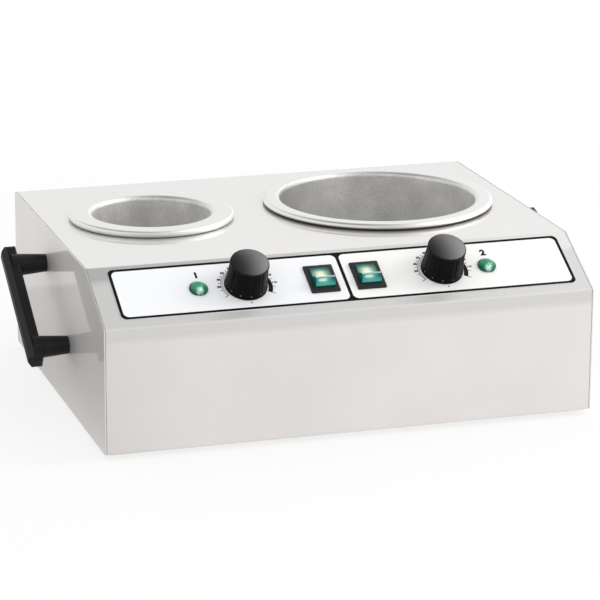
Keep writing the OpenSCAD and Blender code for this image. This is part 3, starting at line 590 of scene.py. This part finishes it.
def curve_to_mesh(name, curve):
    """Mesh in metres of a curve whose unit is DRAWN, because Blender fills tiny curves badly."""
    holder = bpy.data.objects.new(name + "_curve", curve)
    bpy.context.scene.collection.objects.link(holder)
    graph = bpy.context.evaluated_depsgraph_get()
    mesh = bpy.data.meshes.new_from_object(holder.evaluated_get(graph))
    mesh.name = name
    mesh.transform(Matrix.Scale(DRAWN, 4))
    bpy.data.objects.remove(holder)
    return mesh


def finish_print(name, mesh, origin, material):
    """Print on the plate, as an object at the origin with its place in its mesh."""
    mesh.transform(on_panel(origin, lift=INK_T / 2))
    mesh.materials.clear()
    mesh.materials.append(material)
    piece = bpy.data.objects.new(name, mesh)
    bpy.context.scene.collection.objects.link(piece)
    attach(piece, "housing")


def lettering(name, text, size, bold, place):
    curve = bpy.data.curves.new(name, "FONT")
    curve.body = text
    curve.size = size / DRAWN
    curve.offset = bold / DRAWN
    curve.resolution_u = LETTER_STEPS
    curve.extrude = INK_T / 2 / DRAWN
    curve.align_x = "CENTER"
    curve.align_y = "CENTER"
    mesh = curve_to_mesh(name, curve)
    mesh.transform(place)
    return mesh


def joined(name, meshes):
    whole = bmesh.new()
    for mesh in meshes:
        whole.from_mesh(mesh)
        bpy.data.meshes.remove(mesh)
    mesh = bpy.data.meshes.new(name)
    whole.to_mesh(mesh)
    whole.free()
    return mesh


def print_border(black):
    half_w, half_h = PLATE_W / 2, PLATE_H / 2
    windows = [((-half_w + BORDER, -half_h + BORDER), (DIVIDER_X - DIVIDER / 2, half_h - BORDER)),
               ((DIVIDER_X + DIVIDER / 2, -half_h + BORDER), (half_w - BORDER, half_h - BORDER))]
    outlines = [rounded_rect((-half_w, -half_h), (half_w, half_h), PLATE_R)]
    outlines += [rounded_rect(low, high, WINDOW_R) for low, high in windows]
    finish_print("plate_border", flat_piece("plate_border", outlines), PLATE, black)


# ---- dial scales: angles clockwise from the top -------------------------------------------------
SCALE_START, SCALE_END = math.radians(240), math.radians(477)
SCALE_IN = 19.5 * MM
SCALE_OUT = (20.6 * MM, 23.0 * MM)      # the wedge's outer radius at its two ends
NUMBERS = range(30, 111, 10)
NUMBER_START, NUMBER_STEP = math.radians(271.5), math.radians(22)
NUMBER_SIZE = 3.4 * MM
NUMBER_BOLD = 0.055     # part of the size
TICK_W = 0.6 * MM
TICK_FROM, TICK_TO = 0.3 * MM, 2.4 * MM         # from the wedge's outside
END_TO = 3.4 * MM
NUMBER_REACH, LONG_REACH = 2.0 * MM, 2.6 * MM   # from there to the numbers' middles
LONG_NUMBER = 0.85                              # share of the size for three digits
LINE_W = 0.22 * MM
OFF_AT, OFF_HALF = -20.6 * MM, 0.9 * MM
ZONE_SIZE, ZONE_BOLD = 9.2 * MM, 0.5 * MM
ZONE_SHIFT, ZONE_RISE = 1.6 * MM, 16.4 * MM     # from a pilot lamp to its number


def clock(radius, angle):
    return radius * math.sin(angle), radius * math.cos(angle)


def outer_radius(angle):
    part = (angle - SCALE_START) / (SCALE_END - SCALE_START)
    return SCALE_OUT[0] + (SCALE_OUT[1] - SCALE_OUT[0]) * part


def sweep(radius_at, start=SCALE_START, end=SCALE_END, steps=72):
    return [clock(radius_at(start + (end - start) * k / steps), start + (end - start) * k / steps)
            for k in range(steps + 1)]


def scale_wedge():
    """Wedge that grows along the scale."""
    mesh = bpy.data.meshes.new("scale_wedge")
    inner, outer = sweep(lambda a: SCALE_IN), sweep(outer_radius)
    half = INK_T / 2
    corners = []
    for (ix, iy), (ox, oy) in zip(inner, outer):
        corners += [(ix, iy, -half), (ox, oy, -half), (ox, oy, half), (ix, iy, half)]
    faces = []
    for k in range(len(inner) - 1):
        a, b = 4 * k, 4 * (k + 1)
        faces += [(a + j, a + (j + 1) % 4, b + (j + 1) % 4, b + j) for j in range(4)]
    last = 4 * (len(inner) - 1)
    faces += [(3, 2, 1, 0), (last, last + 1, last + 2, last + 3)]
    mesh.from_pydata(corners, [], faces)
    fix_normals(mesh)
    return mesh


def fix_normals(mesh):
    loose = bmesh.new()
    loose.from_mesh(mesh)
    bmesh.ops.recalc_face_normals(loose, faces=loose.faces)
    loose.to_mesh(mesh)
    loose.free()


def band(radius_in, radius_out, start, end):
    """Outline of a ring's stretch; the radii are functions of the angle."""
    return sweep(radius_in, start, end) + sweep(radius_out, start, end)[::-1]


def tick(angle, low, high, width=TICK_W):
    """Outline of a radial mark."""
    lean = width / 2 / high
    return [clock(low, angle - lean), clock(high, angle - lean), clock(high, angle + lean),
            clock(low, angle + lean)]


def dial_lines():
    """The two lines along the wedge, the marks between the numbers and the end marks."""
    lines = [band(lambda a: SCALE_IN - LINE_W, lambda a: SCALE_IN, SCALE_START, SCALE_END),
             band(outer_radius, lambda a: outer_radius(a) + LINE_W, SCALE_START, SCALE_END)]
    for k in range(len(NUMBERS) + 1):
        angle = NUMBER_START + NUMBER_STEP * (k - 0.5)
        lines.append(tick(angle, outer_radius(angle) + TICK_FROM, outer_radius(angle) + TICK_TO))
    for angle in (SCALE_START, SCALE_END):
        lines.append(tick(angle, SCALE_IN, outer_radius(angle) + END_TO))
    return [flat_piece("line", [outline]) for outline in lines]


def dial_numbers():
    meshes = []
    for k, number in enumerate(NUMBERS):
        angle = NUMBER_START + NUMBER_STEP * k
        long = number > 99
        size = NUMBER_SIZE * (LONG_NUMBER if long else 1)
        reach = outer_radius(angle) + (LONG_REACH if long else NUMBER_REACH)
        meshes.append(lettering("number", str(number), size, NUMBER_BOLD * size,
                                Matrix.Translation((*clock(reach, angle), 0))))
    return meshes


def off_mark():
    """Small diamond below the knob."""
    return flat_piece("off", [[(0, OFF_AT + OFF_HALF), (-OFF_HALF, OFF_AT),
                               (0, OFF_AT - OFF_HALF), (OFF_HALF, OFF_AT)]])


def print_dial(side, black, fading):
    marks = joined("dial_marks_" + side, dial_lines() + dial_numbers() + [off_mark()])
    finish_print("dial_marks_" + side, marks, KNOB[side], black)
    finish_print("dial_wedge_" + side, scale_wedge(), KNOB[side], fading)


def print_zone(side, number, black):
    """Plain number above a pilot lamp."""
    lamp = middle("lamp_lens_" + side)
    shift = (lamp - PLATE).dot(RIGHT) + ZONE_SHIFT
    place = Matrix.Translation((shift, ROW + ZONE_RISE, 0))
    finish_print("zone_number_" + side, lettering("zone", number, ZONE_SIZE, ZONE_BOLD, place),
                 PLATE, black)


def print_plate():
    black = ink()
    print_border(black)
    for side, number in (("a", "1"), ("b", "2")):
        print_dial(side, black, dial_ink(side))
        print_zone(side, number, black)


# ---- stage and light ---------------------------------------------------------------------------
FLOOR_SIZE = 8.0
AIM = Vector((0, 0, 0.08))
VIEW_SIDE = (-0.289, -0.916, 0.28)      # direction to the camera
WHITE = (1, 1, 1, 1)
WORLD_LIGHT = 0.97
CAMERA_CONE = (0.88, 0.97)              # cosine from the direction to the camera
OVERHEAD = (0.55, 0.85)                 # height of a direction, from the walls to the ceiling
CEILING = (0.08, 0.6)                   # and how far right it points, on the ceiling
SIDE_SPAN = (-0.3, -0.16)               # along x, from the left of the side panel to the front
PAPER_SPAN = (-0.1, 0.5)
NEAR_BAND, MID_BAND, FAR_BAND = (-0.25, 0.06), (0.14, 0.26), (0.345, 0.365)     # along y, bands of painted shade
HORIZON = (0.5, 1.0)                    # from the object, where the floor fades to plain white


def glow(s, colour):
    return s.node("ShaderNodeEmission", {}, {"Color": colour})


def mixed(s, factor, first, second):
    return s.node("ShaderNodeMixShader", {}, {0: factor, 1: first, 2: second})


def ray_kinds(s):
    path = s.tree.nodes.new("ShaderNodeLightPath")
    return Value(s, path.outputs["Is Camera Ray"]), Value(s, path.outputs["Is Glossy Ray"])


def floor_image(s, x, y):
    """What the steel mirrors of the floor: painted shade in bands left of the side panel, and paper
    painted lighter towards the right.
    """
    # painted shade: dark bands of the floor left of the object, seen only in reflections
    left = s.blend(s.clamped(y, *NEAR_BAND), (0.56, 0.54, 0.52), (0.2, 0.19, 0.18))
    left = s.blend(s.clamped(y, *MID_BAND), left, (0.5, 0.485, 0.465))
    left = s.blend(s.clamped(y, *FAR_BAND), left, (0.95, 0.94, 0.93))
    # painted light: the paper grows lighter towards the right
    right = s.blend(s.clamped(x, *PAPER_SPAN), (0.875, 0.84, 0.822), (0.985, 0.963, 0.95))
    return s.blend(s.clamped(x, *SIDE_SPAN), left, right)


def add_floor():
    mesh = bpy.data.meshes.new("floor")
    half = FLOOR_SIZE / 2
    mesh.from_pydata([(-half, -half, 0), (half, -half, 0), (half, half, 0), (-half, half, 0)],
                     [], [(0, 1, 2, 3)])
    floor = bpy.data.objects.new("floor", mesh)
    bpy.context.scene.collection.objects.link(floor)
    material, s = new_material("floor_white")
    camera_ray, glossy_ray = ray_kinds(s)
    x, y, _ = split(s, s.place())
    far = s.clamped(s.math("SQRT", x * x + y * y), *HORIZON)
    paper = s.surface(base_color=(0.88, 0.88, 0.88), roughness=0.9)
    seen = mixed(s, glossy_ray * 0.85, paper, glow(s, floor_image(s, x, y)))
    s.output(mixed(s, camera_ray * (0.75 + 0.25 * far), seen, glow(s, WHITE)))
    mesh.materials.append(material)


def add_lamp(name, direction, distance, size, radiance):
    """Softbox that faces the object; its radiance is in W per square metre and steradian."""
    light = bpy.data.lights.new(name, "AREA")
    light.shape = "RECTANGLE"
    light.size, light.size_y = size
    light.energy = radiance * math.pi * size[0] * size[1]
    lamp = bpy.data.objects.new(name, light)
    toward = Vector(direction).normalized()
    turn = toward.to_track_quat("Z", "Y").to_matrix().to_4x4()
    lamp.matrix_world = Matrix.Translation(AIM + distance * toward) @ turn
    bpy.context.scene.collection.objects.link(lamp)


def studio_image(s):
    """Strength of what the steel mirrors of the studio: dim overhead and towards the camera."""
    x, y, z = split(s, s.node("ShaderNodeTexCoord", out=0))
    side_x, side_y, side_z = VIEW_SIDE
    camera_side = s.clamped(x * side_x + y * side_y + z * side_z, *CAMERA_CONE)
    overhead = s.clamped(z, *OVERHEAD)
    ceiling = s.clamped(x, *CEILING) ** 1.6
    return (1.0 - 0.8 * camera_side) * (1.0 - overhead) + (0.06 + 2.3 * ceiling) * overhead


def light_scene():
    world = bpy.data.worlds.new("studio")
    bpy.context.scene.world = world
    world.use_nodes = True
    s = Shader(world.node_tree)
    camera_ray, glossy_ray = ray_kinds(s)
    soft, images, white = (
        s.node("ShaderNodeBackground", {}, {"Color": WHITE, "Strength": strength})
        for strength in (WORLD_LIGHT, studio_image(s), 1.0))
    s.node_to("ShaderNodeOutputWorld",
              mixed(s, camera_ray, mixed(s, glossy_ray, soft, images), white))
    add_lamp("key", (0.84, -0.22, 0.5), distance=1.6, size=(0.65, 0.65), radiance=5.2)
    add_lamp("front_fill", (-0.35, -0.75, 0.55), distance=1.8, size=(0.9, 0.6), radiance=1.2)
    bpy.context.scene.view_settings.view_transform = "Standard"


add_camera()
dress_all()
print_plate()
add_floor()
light_scene()
